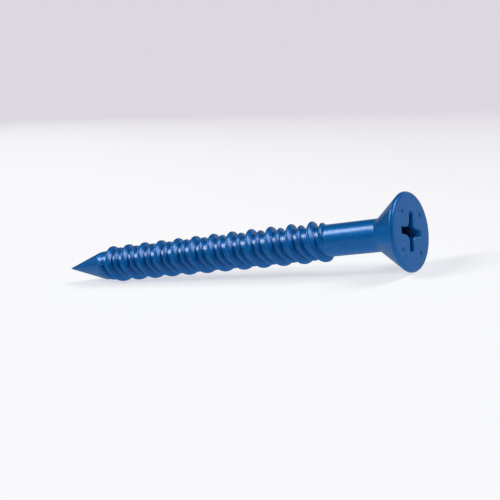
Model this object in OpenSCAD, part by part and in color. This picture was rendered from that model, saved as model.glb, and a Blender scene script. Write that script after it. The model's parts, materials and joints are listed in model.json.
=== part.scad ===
// Flat-head concrete screw with a cross recess and a two-start thread of one high and one low ridge.
// The screw is drawn along +Z, from the flat of its head at z = 0 to the tip of its point, and then
// laid down as it rests on a surface: on the rim of its head and on the last high ridge before the point.

/* [Overall] */
// Length from the flat of the head to the tip of the point
length = 70.3; // [55:0.1:110]

/* [Head] */
// Diameter of the head
head_dia = 11.7; // [10.5:0.05:13.5]
// Included angle of the cone under the head
head_angle = 76; // [72:1:92]
// Height of the rim, from the face to where the cone sets in
rim_h = 0.55; // [0.55:0.05:1]
// Rounding between the face and the rim
face_round = 0.45; // [0.1:0.05:0.45]
// Rounding between the rim and the cone
rim_round = 0.15; // [0.05:0.01:0.2]
// Radius of the fillet between the cone and the shank
neck_round = 0.5; // [0.2:0.1:2]

/* [Cross recess] */
// Span from wing end to wing end, at the face
recess_span = 6.3; // [5.4:0.1:7]
// Width of each wing
wing_w = 1.2; // [0.9:0.05:1.5]
// Radius of the four posts between the wings
post_round = 1.1; // [0.5:0.05:1.2]
// Slope of the wing ends towards the axis
wing_slope = 26.5; // [20:0.5:30]
// Depth to the foot of the wings
recess_depth = 3.2; // [2.4:0.1:3.6]
// Height of the cone at the bottom of the recess
recess_tip = 0.6; // [0.3:0.1:0.9]

/* [Stamped dots] */
// Diameter of each stamped dot on the face
dot_dia = 0.9; // [0.5:0.05:1.2]
// Depth of each dot
dot_depth = 0.16; // [0.05:0.01:0.25]
// Distance of the dots from the axis
dot_ring_r = 3.9; // [3.4:0.1:4.4]

/* [Shank] */
// Diameter of the plain shank, and of the blank at the foot of the point
shank_dia = 4.95; // [4.6:0.05:5.3]
// Length of plain shank between the cone of the head and the run-out of the thread
shank_len = 9.1; // [5:0.05:20]

/* [Thread] */
// Axial advance of each ridge in one turn
lead = 3.863; // [3.4:0.001:4.4]
// Diameter over the high ridge
high_dia = 6.45; // [6:0.05:7]
// Width of the high ridge at its root
high_base = 1.35; // [1.1:0.05:1.7]
// Width of the high ridge at its crest
high_crest = 0.14; // [0.08:0.02:0.4]
// Diameter over the low ridge
low_dia = 5.7; // [5.4:0.05:6]
// Width of the low ridge at its root
low_base = 0.95; // [0.7:0.05:1.1]
// Width of the low ridge at its crest
low_crest = 0.12; // [0.08:0.02:0.3]
// Diameter between the ridges
root_dia = 4.6; // [4.2:0.05:4.8]
// Axial length over which a ridge dies away towards the shank
run_out = 0.45; // [0.2:0.05:0.8]
// Axial length over which a ridge rises behind the point
run_in = 0.25; // [0.15:0.05:0.6]
// Angle from a wing of the recess to the run-out of the high ridge
thread_clock = 119.875; // [0:0.125:360]

/* [Point] */
// Length from the tip back to the start of the thread
point_len = 10.1; // [9.5:0.05:14]
// Included angle of the cone
point_angle = 31; // [26:0.5:36]
// Radius of the shoulder between the cone and the blank
shoulder_round = 6; // [2:0.5:7]
// Radius of the flat at the very tip
tip_r = 0.08; // [0.04:0.01:0.2]

/* [Rest] */
// Angle from a wing of the recess to the side of the screw that faces up
rest_clock = -20.75; // [-45:0.25:45]

/* [Hidden] */
// Flat sides round the threaded length
thread_sides = 32;
// Points across one ridge, and across the high and the low ridge of one turn
ridge_rows = 6;
turn_rows = 2 * ridge_rows;
// Least axial distance between two rows of thread points
row_gap = 0.03;
// The flank bends at this share of its height and of its width from the crest
bend_h = 0.72;
bend_w = 0.42;
// The threaded length reaches this far into the shank and the point, and stands this far inside them
end_lap = 0.15;
end_step = 0.02;
// Straight pieces in a rounded edge of a profile
arc_steps = 8;
// Cutters reach this far past the face they cut
past = 0.5;
$fn = 96;

head_r = head_dia / 2;
shank_r = shank_dia / 2;
root_r = root_dia / 2;
head_h = rim_h + (head_r - shank_r) / tan(head_angle / 2);
thread_from = head_h + shank_len;
thread_to = length - point_len;
// The threaded length is one solid, from the end of the shank to the foot of the point
plain_r = shank_r - end_step;
coil_from = thread_from - high_base / 2 - run_out / 2;
coil_to = thread_to + low_base / 2;
// Each column of thread points crosses this many ridges, high and low by turns. The first is never cut: it
// holds the blank's level up to the run-out
ridge_count = ceil(2 * (thread_to - thread_from) / lead) + 3;
row_count = ridge_rows * ridge_count + 2;

steel_blue = "#2f66a8";

// Points of an arc about a centre, from one angle to another
function arc(centre, r, from, to) =
    [for (i = [0 : arc_steps]) let (a = from + (to - from) * i / arc_steps) centre + r * [cos(a), sin(a)]];

// A rising step from 0 to 1
function ramp(x) = min(max(x, 0), 1);

// Head and plain shank

// Half section of the head, its fillet and the shank, as radius and distance from the face
function head_section() =
    let (
        half = head_angle / 2,
        // a rounded corner sets in this share of its radius before the sharp one
        share = tan(half / 2)
    )
    concat(
        [[0, 0]],
        arc([head_r - face_round, face_round], face_round, -90, 0),
        arc([head_r - rim_round, rim_h - rim_round * share], rim_round, 0, half),
        arc([shank_r + neck_round, head_h + neck_round * share], neck_round, 180 + half, 180),
        [[shank_r, coil_from + end_lap], [0, coil_from + end_lap]]
    );

module head_and_shank() {
    rotate_extrude() polygon(head_section());
}

// Outline of the cross at the face: four wings with rounded posts between them
module cross_outline() {
    post = wing_w / 2 + post_round;
    square([recess_span + 2 * past, wing_w], center = true);
    square([wing_w, recess_span + 2 * past], center = true);
    difference() {
        square(2 * post, center = true);
        for (x = [-1, 1], y = [-1, 1]) translate([x, y] * post) circle(post_round);
    }
}

// The cross narrows with depth: its wing ends lie on a cone and its bottom comes to a point
module recess_cut() {
    foot_r = recess_span / 2 - recess_depth * tan(wing_slope);
    mouth_r = recess_span / 2 + past * tan(wing_slope);
    intersection() {
        translate([0, 0, -past]) linear_extrude(past + recess_depth + recess_tip) cross_outline();
        rotate_extrude()
            polygon([
                [0, -past], [mouth_r, -past], [foot_r, recess_depth], [0, recess_depth + recess_tip]
            ]);
    }
}

// Four shallow round dots, one on each post
module dot_cuts() {
    ball_r = (dot_dia * dot_dia / 4 + dot_depth * dot_depth) / (2 * dot_depth);
    for (a = [45 : 90 : 315])
        rotate(a) translate([dot_ring_r, 0, dot_depth - ball_r]) sphere(ball_r);
}

// Threaded length

// Section of a ridge across its crest, as axial distance and share of its height
function ridge_section(base, crest) =
    let (bend = crest + (base - crest) * bend_w)
    [
        [-base / 2, 0], [-bend / 2, bend_h], [-crest / 2, 1],
        [crest / 2, 1], [bend / 2, bend_h], [base / 2, 0]
    ];

// Every other ridge is a high one
function is_high(ridge) = ridge % 2 == 0;

// Distance from the face to the crest of a ridge, in one column
function crest_z(column, ridge) = thread_from + lead * (ridge / 2 - 1 + column / thread_sides);

// A ridge is cut only between the two ends of the thread, and there it rises and dies away
function is_cut(z) = z > thread_from && z < thread_to;
function rise(z) = ramp((z - thread_from) / run_out) * ramp((thread_to - z) / run_in);

// Radius and distance from the face of one thread point. Rows past the ends lie on the plain blank
function thread_rz(column, row) =
    row == 0 ? [plain_r, coil_from]
    : row == row_count - 1 ? [plain_r, coil_to]
    : let (
        ridge = floor((row - 1) / ridge_rows),
        high = is_high(ridge),
        section = high ? ridge_section(high_base, high_crest) : ridge_section(low_base, low_crest),
        spot = section[(row - 1) % ridge_rows],
        crest = crest_z(column, ridge),
        height = ((high ? high_dia : low_dia) - root_dia) / 2 * rise(crest)
    )
    [
        is_cut(crest) ? root_r + spot[1] * height : plain_r,
        min(max(crest + spot[0], coil_from + row * row_gap), coil_to - (row_count - 1 - row) * row_gap)
    ];

function thread_point(column, row) =
    let (a = thread_clock + 360 * column / thread_sides, rz = thread_rz(column, row))
    [rz[0] * cos(a), rz[0] * sin(a), rz[1]];

// Place of a point in the list
function at(column, row) = column * row_count + row;

// The two ridges as one closed skin. One turn takes each ridge on by a lead, so the last column meets the
// first one turn of rows further on, and what is left over at either end closes as a fan
module threaded_length() {
    last = thread_sides - 1;
    top = row_count - 1;
    points = [for (c = [0 : last], r = [0 : top]) thread_point(c, r)];
    skin = [
        for (c = [0 : last - 1], r = [0 : top - 1])
            each [[at(c, r), at(c + 1, r + 1), at(c + 1, r)], [at(c, r), at(c, r + 1), at(c + 1, r + 1)]]
    ];
    seam = [
        for (r = [0 : top - turn_rows - 1])
            let (s = r + turn_rows)
            each [[at(last, r), at(0, s + 1), at(0, s)], [at(last, r), at(last, r + 1), at(0, s + 1)]]
    ];
    first_fan = [for (r = [0 : turn_rows - 1]) [at(last, 0), at(0, r + 1), at(0, r)]];
    last_fan = [for (r = [top - turn_rows : top - 1]) [at(last, r), at(last, r + 1), at(0, top)]];
    ends = [[for (c = [0 : last]) at(c, 0)], [for (c = [last : -1 : 0]) at(c, top)]];
    polyhedron(points, concat(skin, seam, first_fan, last_fan, ends), convexity = 20);
}

// Point

// Half section of the point: the foot on the blank, a rounded shoulder, the cone and its blunt tip
function point_section() =
    let (
        half = point_angle / 2,
        // the cone, drawn on to the blank, would meet it here
        corner_z = length - (shank_r - tip_r) / tan(half),
        round_z = corner_z - shoulder_round * tan(half / 2)
    )
    concat(
        [[0, coil_to - end_lap], [shank_r, coil_to - end_lap]],
        arc([shank_r - shoulder_round, round_z], shoulder_round, 0, half),
        [[tip_r, length], [0, length]]
    );

module point() {
    rotate_extrude() polygon(point_section());
}

// The whole screw

// The screw, standing on its head
module upright() {
    difference() {
        union() {
            head_and_shank();
            threaded_length();
            point();
        }
        recess_cut();
        dot_cuts();
    }
}

// At rest the screw leans on the lower edge of its rim and on the last whole high ridge at its underside
module screw() {
    crest_r = high_dia / 2 * cos(180 / thread_sides);
    turn = (180 + rest_clock - thread_clock) / 360;
    whole_turns = floor((thread_to - run_in - thread_from) / lead - turn);
    crest = thread_from + lead * (turn + whole_turns);
    rim = rim_h - rim_round * tan(head_angle / 4);
    tilt = atan((head_r - crest_r) / (crest - rim));
    // the origin lies under the middle of the laid screw
    middle = (length * cos(tilt) - (head_r - face_round) * sin(tilt)) / 2;
    face_up = head_r * cos(tilt) + rim * sin(tilt);
    color(steel_blue)
        translate([middle, 0, face_up])
            rotate([0, -90 - tilt, 0])
                rotate(-rest_clock)
                    upright();
}

screw();
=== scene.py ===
"""Looks of a flat-head concrete screw: blue coated steel, lying on a pale studio floor."""

import json
import math

import bpy
import numpy as np
from mathutils import Matrix, Vector


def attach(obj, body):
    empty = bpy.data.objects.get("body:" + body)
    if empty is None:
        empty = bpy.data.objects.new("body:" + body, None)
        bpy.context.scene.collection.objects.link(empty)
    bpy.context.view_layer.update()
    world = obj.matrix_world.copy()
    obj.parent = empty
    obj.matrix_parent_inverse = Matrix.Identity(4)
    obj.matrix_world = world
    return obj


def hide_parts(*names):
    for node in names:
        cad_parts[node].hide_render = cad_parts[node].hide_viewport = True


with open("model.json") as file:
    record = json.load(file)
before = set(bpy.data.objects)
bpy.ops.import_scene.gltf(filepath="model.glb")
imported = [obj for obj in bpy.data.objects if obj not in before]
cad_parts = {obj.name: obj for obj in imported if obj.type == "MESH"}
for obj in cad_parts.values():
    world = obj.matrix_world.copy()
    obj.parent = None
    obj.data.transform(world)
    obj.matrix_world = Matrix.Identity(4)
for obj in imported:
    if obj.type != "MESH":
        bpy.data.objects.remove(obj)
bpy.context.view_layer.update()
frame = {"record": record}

# Screw
# One piece of steel wire, cold-headed, pinched to a point and thread-rolled, then coated blue all over.
# It is drawn in millimetres along +Z, from the face of its head to the tip, with +X along a recess wing,
# and laid where the CAD screw lies: on the rim of its head and on a crest of its thread.
MM = 0.001
length = 70.3
columns = 192
even_turn = np.linspace(0, 2 * math.pi, columns, endpoint=False)


def smooth_step(x):
    """Eases from 0 to 1 while x goes from 0 to 1."""
    x = np.clip(x, 0, 1)
    return x * x * (3 - 2 * x)


def loop_points(radius, z, turn):
    """One loop of points round the axis. Radius and z are one number, or one for each column."""
    radius, z = np.broadcast_to(radius, turn.shape), np.broadcast_to(z, turn.shape)
    return np.stack([radius * np.cos(turn), radius * np.sin(turn), z], axis=1)


def arc(centre, radius, start, end, steps):
    """Points (radius, z) of a rounded edge in the half section, between two angles in degrees."""
    turn = np.radians(np.linspace(start, end, steps))
    return np.array(centre) + radius * np.stack([np.cos(turn), np.sin(turn)], axis=1)


def straight(start, end, steps):
    """Points between two points of the half section, without the ends."""
    share = np.linspace(0, 1, steps + 2)[1:-1, None]
    return np.array(start) * (1 - share) + np.array(end) * share


# Cross recess, punched into the head: four wings with convex posts between them, wing ends that slope in
# to a cone, and a mouth that the punch draws in to a soft edge
recess_span, wing_w, post_round, wing_corner = 5.96, 1.06, 1.1, 0.16
wing_slope, recess_depth, recess_tip = math.radians(26.5), 3.2, 0.6
mouth_round = 0.22
wall_blend = 0.12


def cross_outline():
    """Evenly spaced points of the cross and their outward normals, from the middle of a wing's end."""
    end, side, post = recess_span / 2, wing_w / 2, wing_w / 2 + post_round
    corner = arc((end - wing_corner, side - wing_corner), wing_corner, 0, 90, 9)
    post_side = arc((post, post), post_round, -90, -135, 13)
    eighth = np.concatenate([[[end, 0]], corner, post_side])
    quarter = np.concatenate([eighth, eighth[-2::-1, ::-1]])
    outline = [quarter[:-1]]
    for _ in range(3):
        outline.append(np.stack([-outline[-1][:, 1], outline[-1][:, 0]], axis=1))
    outline = np.concatenate(outline + [quarter[:1]])
    along = np.concatenate([[0], np.cumsum(np.linalg.norm(np.diff(outline, axis=0), axis=1))])
    even = np.linspace(0, along[-1], columns, endpoint=False)
    points = np.stack([np.interp(even, along, outline[:, i]) for i in range(2)], axis=1)
    tangent = np.roll(points, -1, axis=0) - np.roll(points, 1, axis=0)
    normal = np.stack([tangent[:, 1], -tangent[:, 0]], axis=1)
    return points, normal / np.linalg.norm(normal, axis=1, keepdims=True)


mouth, mouth_normal = cross_outline()
mouth_turn = np.arctan2(mouth[:, 1], mouth[:, 0])
mouth_reach = np.linalg.norm(mouth, axis=1)


def wing_reach(depth):
    """Reach of the cone of the wing ends, and below it of the cone at the bottom."""
    foot = recess_span / 2 - recess_depth * math.tan(wing_slope)
    if depth < recess_depth:
        return recess_span / 2 - depth * math.tan(wing_slope)
    return foot * (recess_depth + recess_tip - depth) / recess_tip


def recess_loop(depth):
    """The walls go straight down until the cone of the wing ends meets them, at a soft corner."""
    cone = wing_reach(depth)
    near = np.maximum(wall_blend - np.abs(mouth_reach - cone), 0)
    reach = np.minimum(mouth_reach, cone) - near * near / (4 * wall_blend)
    return loop_points(np.maximum(reach, 0), depth, mouth_turn)


depths = np.concatenate([
    np.linspace(recess_depth + 0.95 * recess_tip, recess_depth, 6),
    np.linspace(recess_depth, mouth_round, 22)[1:],
])
loops = [recess_loop(depth) for depth in depths]
for tilt in np.radians(np.linspace(75, 0, 6)):
    spread = mouth + mouth_normal * mouth_round * (1 - math.sin(tilt))
    loops.append(np.column_stack([spread, np.full(columns, mouth_round * (1 - math.cos(tilt)))]))

# Painted shade and rub of each loop: from -1 where shade is painted darkest to 1 on an edge painted paler,
# partly as wear and partly as a painted highlight. Painted shade lies on the steep walls and at the bottom
# of the recess, less on the sloping wing ends, and the mouth edge is painted paler
shade_from, shade_over = 0.25, 1.1
slope_to, slope_shade = 1.6, 0.3
mouth_rub_and_highlight = [0, 0.5, 0.9, 1, 0.8, 0.3]
shade_and_rub = []
for depth in depths:
    on_slope = (mouth_reach > wing_reach(depth)) & (depth < slope_to)
    shade_and_rub.append(-np.clip((depth - shade_from) / shade_over, 0, 1) * np.where(on_slope, slope_shade, 1))
shade_and_rub += mouth_rub_and_highlight

# Head, upset from the wire: a flat face with four shallow stamped dots, a soft rim, a cone that sits in
# the countersink, and a small fillet on to the shank, which is the wire's own diameter
head_r, head_half_angle, rim_h = 5.85, 38, 0.55
face_round, rim_round, neck_round = 0.45, 0.15, 0.5
dot_r, dot_depth, dot_ring_r, dot_steepness, dot_shade = 0.45, 0.16, 3.9, 1.8, 0.4
shank_r, shank_len = 2.475, 9.1
face_loops = 28

face_edge = loop_points(head_r - face_round, 0, even_turn)
face_start = loops[-1]
dot_turns = np.radians([45, 135, 225, 315])
dots = dot_ring_r * np.stack([np.cos(dot_turns), np.sin(dot_turns)], axis=1)
for share in np.linspace(0, 1, face_loops + 1)[1:]:
    face = face_start + (face_edge - face_start) * share
    off = np.linalg.norm(face[:, None, :2] - dots, axis=2).min(axis=1)
    sunk = smooth_step(dot_steepness * (1 - off / dot_r))
    face[:, 2] += dot_depth * sunk
    loops.append(face)
    # painted shade in the stamped dots
    shade_and_rub.append(-dot_shade * sunk)

corner_share = math.tan(math.radians(head_half_angle) / 2)
head_h = rim_h + (head_r - shank_r) / math.tan(math.radians(head_half_angle))
rim = np.concatenate([
    arc((head_r - face_round, face_round), face_round, -90, 0, 8)[1:],
    arc((head_r - rim_round, rim_h - rim_round * corner_share), rim_round, 0, head_half_angle, 5),
])
# the rim is painted paler, partly as wear and partly as a painted highlight
rim_rub_and_highlight = [0.2, 0.5, 0.7, 0.7, 0.6, 0.4, 0.3, 0.6, 0.8, 0.8, 0.5, 0.2]
neck_centre = (shank_r + neck_round, head_h + neck_round * corner_share)
neck = arc(neck_centre, neck_round, 180 + head_half_angle, 180, 7)
thread_from = head_h + shank_len

# Thread, rolled between flat dies: a high and a low ridge wind round the wire together, right-hand, with
# straight flanks and round crests. The dies press the root below the wire's own diameter, and each ridge
# dies away at the shank and behind the point
lead, root_r, crest_round = 3.863, 2.3, 0.55
thread_clock = math.radians(119.875)
point_len = 10.1
press_in, press_out = 0.3, 0.12
end_width, end_bulge = 0.4, 0.7
row_gap = 0.008

thread_to = length - point_len
# rows lie at these distances from the crest, down both flanks, and band rows on the root after the ridge
ridges = {
    "high": {
        "r": 3.225, "base": 1.46, "shift": 0.06,
        "from": thread_from, "to": thread_to, "run_out": 0.45, "run_in": 0.25,
        "rows": [0.06, 0.18, 0.32, 0.48, 0.63, 0.73], "band": [0.8, 1.57],
    },
    "low": {
        "r": 2.85, "base": 0.92, "shift": 0.2,
        "from": thread_from - 0.3, "to": thread_to + 0.03, "run_out": 0.9, "run_in": 0.08,
        "rows": [0.05, 0.14, 0.24, 0.33, 0.41, 0.46], "band": [0.53, 1.0],
    },
}
coil_from = thread_from - 0.9
coil_to = thread_to + ridges["low"]["base"] / 2
coil_share = ((even_turn - thread_clock) / (2 * math.pi)) % 1
turn_rows = sum(2 * len(ridge["rows"]) + len(ridge["band"]) for ridge in ridges.values())


def ridge_section(ridge):
    """Rows of a ridge and of the band after it: the offset along the screw, the share of the ridge's
    height, the painted shade and rub for the coating (painted shade at the feet, a crest painted paler as
    wear and painted highlight), and whether the row is on the band."""
    offsets = np.concatenate([-np.array(ridge["rows"][::-1]), ridge["rows"], ridge["band"]])
    share = np.abs(offsets) / (ridge["base"] / 2)
    fall = np.hypot(np.minimum(share, 1), crest_round) - crest_round
    # 1 on the crest, painted paler as wear and painted highlight; -1 at the foot, painted shade
    edge = np.interp(share, [0.15, 0.4, 0.85, 1, 1.1], [1, 0, 0, -1, 0])
    return zip(offsets, 1 - fall / fall.max(), edge, share > 1.01)


coil_r, coil_z, coil_shade_and_rub = [], [], []
for number in range(-1, math.ceil(2 * (thread_to - thread_from) / lead) + 2):
    ridge = ridges["high" if number % 2 else "low"]
    crest_z = thread_from + lead * ((number - 1) / 2 + coil_share) + ridge["shift"]
    since, until = crest_z - ridge["from"], ridge["to"] - crest_z
    rise = np.clip(since / ridge["run_out"], 0, 1) ** end_bulge * np.clip(until / ridge["run_in"], 0, 1)
    pressed = smooth_step(since / press_in + 0.5) * smooth_step(until / press_out + 0.5)
    for offset, height, edge, on_band in ridge_section(ridge):
        formed = root_r + (ridge["r"] - root_r) * height * rise
        coil_r.append(shank_r + (formed - shank_r) * pressed)
        coil_z.append(crest_z + offset * (1 if on_band else end_width + (1 - end_width) * rise))
        coil_shade_and_rub.append(edge * rise)
coil_r, coil_z = np.array(coil_r), np.array(coil_z)
row = np.arange(len(coil_r))[:, None]
coil_z = np.clip(coil_z, coil_from + (row + 1) * row_gap, coil_to - (len(coil_r) - row) * row_gap)

# Point, pinched to a slim cone with a soft shoulder where it leaves the wire and a blunt tip
point_half_angle, shoulder_round, tip_r = 15.5, 4.0, 0.08
corner_z = length - (shank_r - tip_r) / math.tan(math.radians(point_half_angle))
round_z = corner_z - shoulder_round * math.tan(math.radians(point_half_angle) / 2)
shoulder = arc((shank_r - shoulder_round, round_z), shoulder_round, 0, point_half_angle, 14)
tip = arc((0, length - tip_r), tip_r, point_half_angle, 80, 5)
# the tip is painted paler, partly as wear and partly as a painted highlight
tip_rub_and_highlight = [0.6, 0.8, 1, 1, 1]

# The cone runs on up to the crest of the low ridge, and stops at a slanting step where that ridge starts
ledge_turn, ledge_z, ledge_step = np.radians([-88, -58]), (60.23, 61.87), 0.16
ledge_holds, ledge_fades = 1, 2


def with_ledge(radius, z):
    """Radius of the skin at z, one for each column, raised to the cone behind the low ridge's last
    half turn. Angles are in radians."""
    behind = (ledge_turn[0] - even_turn + 1) % (2 * math.pi) - 1
    slant = (ledge_z[1] - ledge_z[0]) / (ledge_turn[1] - ledge_turn[0])
    edge_z = ledge_z[0] - behind * np.where(behind < 0, slant, lead / (2 * math.pi))
    fade = 1 - smooth_step((behind - ledge_holds) / ledge_fades)
    cone = tip_r + (length - z) * math.tan(math.radians(point_half_angle))
    level = np.minimum(cone, shank_r + (ridges["low"]["r"] - shank_r) * fade)
    return radius + np.maximum(level - radius, 0) * fade * smooth_step((z - edge_z) / ledge_step + 0.5)


# One closed skin: loops from the bottom of the recess to the shank, rows that wind with the thread, and
# loops on to the tip. One turn takes a ridge on by a lead, so the winding rows meet one turn further on
head_section = np.concatenate([
    rim, straight(rim[-1], neck[0], 10),
    neck, straight(neck[-1], (shank_r, coil_from), 7), [(shank_r, coil_from)],
])
point_section = np.concatenate([
    [(shank_r, coil_to)], straight((shank_r, coil_to), shoulder[0], 5),
    shoulder, straight(shoulder[-1], tip[0], 14), tip,
])
points = loops + [loop_points(r, z, even_turn) for r, z in head_section]
shade_and_rub += rim_rub_and_highlight + [0] * (len(head_section) - len(rim))
first_row = len(points)
points += [loop_points(with_ledge(r, z), z, even_turn) for r, z in zip(coil_r, coil_z)]
shade_and_rub += coil_shade_and_rub
last_row = len(points) - 1
points += [loop_points(with_ledge(r, z), z, even_turn) for r, z in point_section]
shade_and_rub += [0] * (len(point_section) - len(tip)) + tip_rub_and_highlight
ids = np.arange(len(points) * columns).reshape(-1, columns)
floor_id, tip_id = ids.size, ids.size + 1
seam = int(np.argmin(coil_share))

faces = []
for column in range(columns):
    after = (column + 1) % columns
    faces.append((floor_id, ids[0, after], ids[0, column]))
    faces.append((tip_id, ids[-1, column], ids[-1, after]))
    for upper in range(len(ids) - 1):
        lower = upper + 1
        crosses_seam = after == seam and first_row - 1 <= upper <= last_row
        if not crosses_seam:
            faces.append((ids[upper, column], ids[upper, after], ids[lower, after], ids[lower, column]))
before = (seam - 1) % columns
for upper in range(first_row - 1, last_row + 1 - turn_rows):
    lower = upper + turn_rows
    faces.append((ids[upper, before], ids[lower, seam], ids[lower + 1, seam], ids[upper + 1, before]))
for upper in range(first_row - 1, first_row - 1 + turn_rows):
    faces.append((ids[first_row - 1, before], ids[upper, seam], ids[upper + 1, seam]))
for upper in range(last_row + 1 - turn_rows, last_row + 1):
    faces.append((ids[upper, before], ids[last_row + 1, seam], ids[upper + 1, before]))

corners = np.concatenate(points + [[[0, 0, recess_depth + recess_tip], [0, 0, length]]])
skin = bpy.data.meshes.new("screw_skin")
skin.from_pydata(corners.tolist(), [], [tuple(int(i) for i in face) for face in faces])
skin.attributes.new("shade_and_rub", "FLOAT", "POINT").data.foreach_set(
    "value", np.concatenate([np.broadcast_to(value, columns) for value in shade_and_rub] + [[-1, 1]])
)

mounts = {mount["name"]: mount for mount in frame["record"]["mounts"]}
face_centre = Vector(mounts["drive_recess"]["pos_m"])
to_head = Vector(mounts["drive_recess"]["axis"]).normalized()
rest_clock = math.radians(-20.75)
far_side = Vector((0, 1, 0))
up_side = far_side.cross(-to_head)
skin.transform(
    Matrix.Translation(face_centre)
    @ Matrix((up_side, far_side, -to_head)).transposed().to_4x4()
    @ Matrix.Rotation(-rest_clock, 4, "Z")
    @ Matrix.Scale(MM, 4)
)
skin.shade_smooth()
screw = bpy.data.objects.new("screw_skin", skin)
bpy.context.scene.collection.objects.link(screw)


# Blue coated steel: a thin baked resin coating with metal flake in it, under its own clear skin. It gives
# a satin blue that darkens away from the light, with a soft pale gleam on top
def linear(hex_colour):
    """Linear colour from an sRGB hex value."""
    channels = [int(hex_colour[i : i + 2], 16) / 255 for i in (1, 3, 5)]
    return (*[c / 12.92 if c <= 0.04045 else ((c + 0.055) / 1.055) ** 2.4 for c in channels], 1)


def add_node(tree, kind, settings, inputs):
    """Adds a node, with its settings, and its inputs as values or links from other nodes' sockets."""
    node = tree.nodes.new(kind)
    for name, value in settings.items():
        setattr(node, name, value)
    for name, value in inputs.items():
        if isinstance(value, bpy.types.NodeSocket):
            tree.links.new(value, node.inputs[name])
        else:
            node.inputs[name].default_value = value
    return node


coating = bpy.data.materials.new("blue_coated_steel")
coating.use_nodes = True
tree = coating.node_tree
shader = tree.nodes["Principled BSDF"]
place = add_node(tree, "ShaderNodeTexCoord", {}, {})
# the resin lies thicker and thinner in clouds about 0.6 mm across
cloud_size = 0.6 * MM
cloud = add_node(
    tree, "ShaderNodeTexNoise", {},
    {"Vector": place.outputs["Object"], "Scale": 1 / cloud_size, "Detail": 3, "Roughness": 0.6},
)
# flake and baked grain are about 0.03 mm, drawn at 0.14 mm so that they show
grain_size = 0.14 * MM
grain = add_node(
    tree, "ShaderNodeTexNoise", {},
    {"Vector": place.outputs["Object"], "Scale": 1 / grain_size, "Detail": 2, "Roughness": 0.5},
)
thick = add_node(
    tree, "ShaderNodeMapRange", {},
    {"Value": cloud.outputs["Fac"], "From Min": 0.35, "From Max": 0.65, "To Min": 0, "To Max": 1},
)
film = add_node(
    tree, "ShaderNodeMix", {"data_type": "RGBA"},
    {"Factor": thick.outputs["Result"], 6: linear("#0075c6"), 7: linear("#006bb9")},
)
form = add_node(tree, "ShaderNodeAttribute", {"attribute_name": "shade_and_rub"}, {})
# painted shade: darker in the recess, in the stamped dots and along the feet of the ridges, where shade
# falls
shade_amount = add_node(
    tree, "ShaderNodeMapRange", {},
    {"Value": form.outputs["Fac"], "From Min": 0, "From Max": -1, "To Max": 0.9},
)
shaded_film = add_node(
    tree, "ShaderNodeMix", {"data_type": "RGBA"},
    {"Factor": shade_amount.outputs["Result"], 6: film.outputs[2], 7: linear("#00193a")},
)
# crests, rim, tip and recess mouth are painted thin, paler and broken up: partly wear, as they rub against
# other screws in the box, and partly a painted highlight
edge_wear_and_highlight = add_node(
    tree, "ShaderNodeMath", {"operation": "MULTIPLY"}, {0: form.outputs["Fac"], 1: cloud.outputs["Fac"]}
)
wear_and_highlight_amount = add_node(
    tree, "ShaderNodeMapRange", {},
    {"Value": edge_wear_and_highlight.outputs["Value"], "From Min": 0.3, "From Max": 0.7, "To Max": 0.2},
)
colour = add_node(
    tree, "ShaderNodeMix", {"data_type": "RGBA"},
    {"Factor": wear_and_highlight_amount.outputs["Result"], 6: shaded_film.outputs[2], 7: linear("#7aa3cf")},
)
matt = add_node(
    tree, "ShaderNodeMapRange", {},
    {"Value": cloud.outputs["Fac"], "From Min": 0.3, "From Max": 0.7, "To Min": 0.45, "To Max": 0.55},
)
uneven = add_node(
    tree, "ShaderNodeMath", {"operation": "ADD"}, {0: grain.outputs["Fac"], 1: cloud.outputs["Fac"]}
)
bump = add_node(
    tree, "ShaderNodeBump", {},
    {"Height": uneven.outputs["Value"], "Strength": 0.17, "Distance": 0.02 * MM},
)
tree.links.new(colour.outputs[2], shader.inputs["Base Color"])
tree.links.new(matt.outputs["Result"], shader.inputs["Roughness"])
tree.links.new(bump.outputs["Normal"], shader.inputs["Normal"])
tree.links.new(bump.outputs["Normal"], shader.inputs["Coat Normal"])
shader.inputs["Metallic"].default_value = 0.4
shader.inputs["Specular IOR Level"].default_value = 0.1
shader.inputs["Coat Weight"].default_value = 0.9
shader.inputs["Coat Roughness"].default_value = 0.19
shader.inputs["Coat IOR"].default_value = 1.5
skin.materials.append(coating)
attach(screw, "root")
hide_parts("screw")

# Floor
# A sheet of matt white acrylic on a light table, lit from below, so that shadows on it stay faint and soft.
# It is white near the screw and greys off behind it, where the table ends.
floor_half = 4.0
lit_way, grey_from = (0.602, 0.799, 0), 152 * MM
acrylic = bpy.data.materials.new("lit_acrylic")
acrylic.use_nodes = True
tree = acrylic.node_tree
shader = tree.nodes["Principled BSDF"]
place = add_node(tree, "ShaderNodeNewGeometry", {}, {})
back = add_node(
    tree, "ShaderNodeVectorMath", {"operation": "DOT_PRODUCT"}, {0: place.outputs["Position"], 1: lit_way}
)
behind = add_node(
    tree, "ShaderNodeMapRange", {}, {"Value": back.outputs["Value"], "From Max": grey_from}
)
fade = add_node(tree, "ShaderNodeMath", {"operation": "POWER"}, {0: behind.outputs["Result"], 1: 2})
glow = add_node(
    tree, "ShaderNodeMix", {"data_type": "RGBA"},
    {"Factor": fade.outputs["Value"], 6: linear("#cfcfd1"), 7: linear("#dbd8df")},
)
seen = add_node(tree, "ShaderNodeLightPath", {}, {})
dimmed = add_node(
    tree, "ShaderNodeMath", {"operation": "MAXIMUM"},
    {0: fade.outputs["Value"], 1: seen.outputs["Is Glossy Ray"]},
)
white = add_node(
    tree, "ShaderNodeMix", {"data_type": "RGBA"},
    {"Factor": dimmed.outputs["Value"], 6: linear("#ababab"), 7: linear("#000000")},
)
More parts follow.
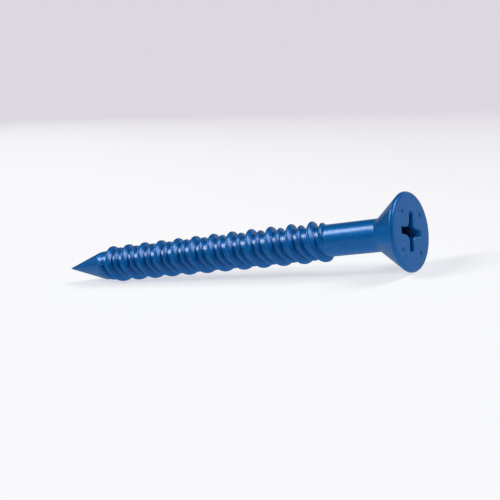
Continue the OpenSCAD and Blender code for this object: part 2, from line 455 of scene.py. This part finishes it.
# the glow lights the screw from below more than it shows, and mirrors in it less
below = add_node(
    tree, "ShaderNodeMapRange", {},
    {"Value": seen.outputs["Is Diffuse Ray"], "To Min": 1, "To Max": 1.48},
)
strength = add_node(
    tree, "ShaderNodeMath", {"operation": "MULTIPLY_ADD"},
    {0: seen.outputs["Is Glossy Ray"], 1: -0.6, 2: below.outputs["Result"]},
)
tree.links.new(glow.outputs[2], shader.inputs["Emission Color"])
tree.links.new(strength.outputs["Value"], shader.inputs["Emission Strength"])
tree.links.new(white.outputs[2], shader.inputs["Base Color"])
shader.inputs["Roughness"].default_value = 0.3
shader.inputs["Specular IOR Level"].default_value = 0
floor_corners = [(x * floor_half, y * floor_half, 0) for x, y in ((-1, -1), (1, -1), (1, 1), (-1, 1))]
floor_mesh = bpy.data.meshes.new("floor")
floor_mesh.from_pydata(floor_corners, [], [(0, 1, 2, 3)])
floor_mesh.materials.append(acrylic)
floor = bpy.data.objects.new("floor", floor_mesh)
bpy.context.scene.collection.objects.link(floor)

# Light
# Two softboxes, one high over the point's end and one over the head's end, a fill overhead that leaves no
# gleam, and a pale lit backdrop low behind, which edges the ridges and the shank. The rest is dark.
lamp_distance = 3
for name, side, width, depth, power, lights_up, gleams in (
    ("key_softbox", (-0.62, -0.29, 0.73), 1.0, 1.7, 45, True, True),
    ("side_softbox", (0.6, 0.27, 0.75), 1.5, 1.5, 34, True, True),
    ("fill_panel", (0.55, 0.15, 0.82), 2.0, 2.0, 20, True, False),
    ("lit_backdrop", (-0.2, 0.95, 0.22), 4.8, 1.0, 6, False, True),
):
    softbox = bpy.data.lights.new(name, "AREA")
    softbox.shape = "RECTANGLE"
    softbox.size, softbox.size_y, softbox.energy = width, depth, power
    lamp = bpy.data.objects.new(name, softbox)
    lamp.location = Vector(side).normalized() * lamp_distance
    lamp.rotation_euler = Vector(side).to_track_quat("Z", "Y").to_euler()
    lamp.visible_diffuse, lamp.visible_glossy = lights_up, gleams
    bpy.context.scene.collection.objects.link(lamp)

room = bpy.data.worlds.new("room")
room.use_nodes = True
bpy.context.scene.world = room
tree = room.node_tree
seen = add_node(tree, "ShaderNodeLightPath", {}, {})
walls = add_node(
    tree, "ShaderNodeMix", {"data_type": "RGBA"},
    {"Factor": seen.outputs["Is Camera Ray"], 6: linear("#242426"), 7: linear("#dbd8df")},
)
tree.links.new(walls.outputs[2], tree.nodes["Background"].inputs["Color"])

# Camera
# Close to the head, a little above the screw, rolled as the photograph shows it.
camera_at = Vector((93.33, -118.51, 33.87)) * MM
camera_aim = Vector((6.26, -0.03, 4.40)) * MM
camera_roll = math.radians(-11.16)
lens = bpy.data.cameras.new("camera")
lens.sensor_width, lens.lens = 36, 67.06
lens.clip_start, lens.clip_end = 0.005, 20
camera = bpy.data.objects.new("camera", lens)
camera.matrix_world = (
    Matrix.Translation(camera_at)
    @ (camera_aim - camera_at).to_track_quat("-Z", "Y").to_matrix().to_4x4()
    @ Matrix.Rotation(camera_roll, 4, "Z")
)
bpy.context.scene.collection.objects.link(camera)
bpy.context.scene.camera = camera
bpy.context.scene.view_settings.view_transform = "Standard"
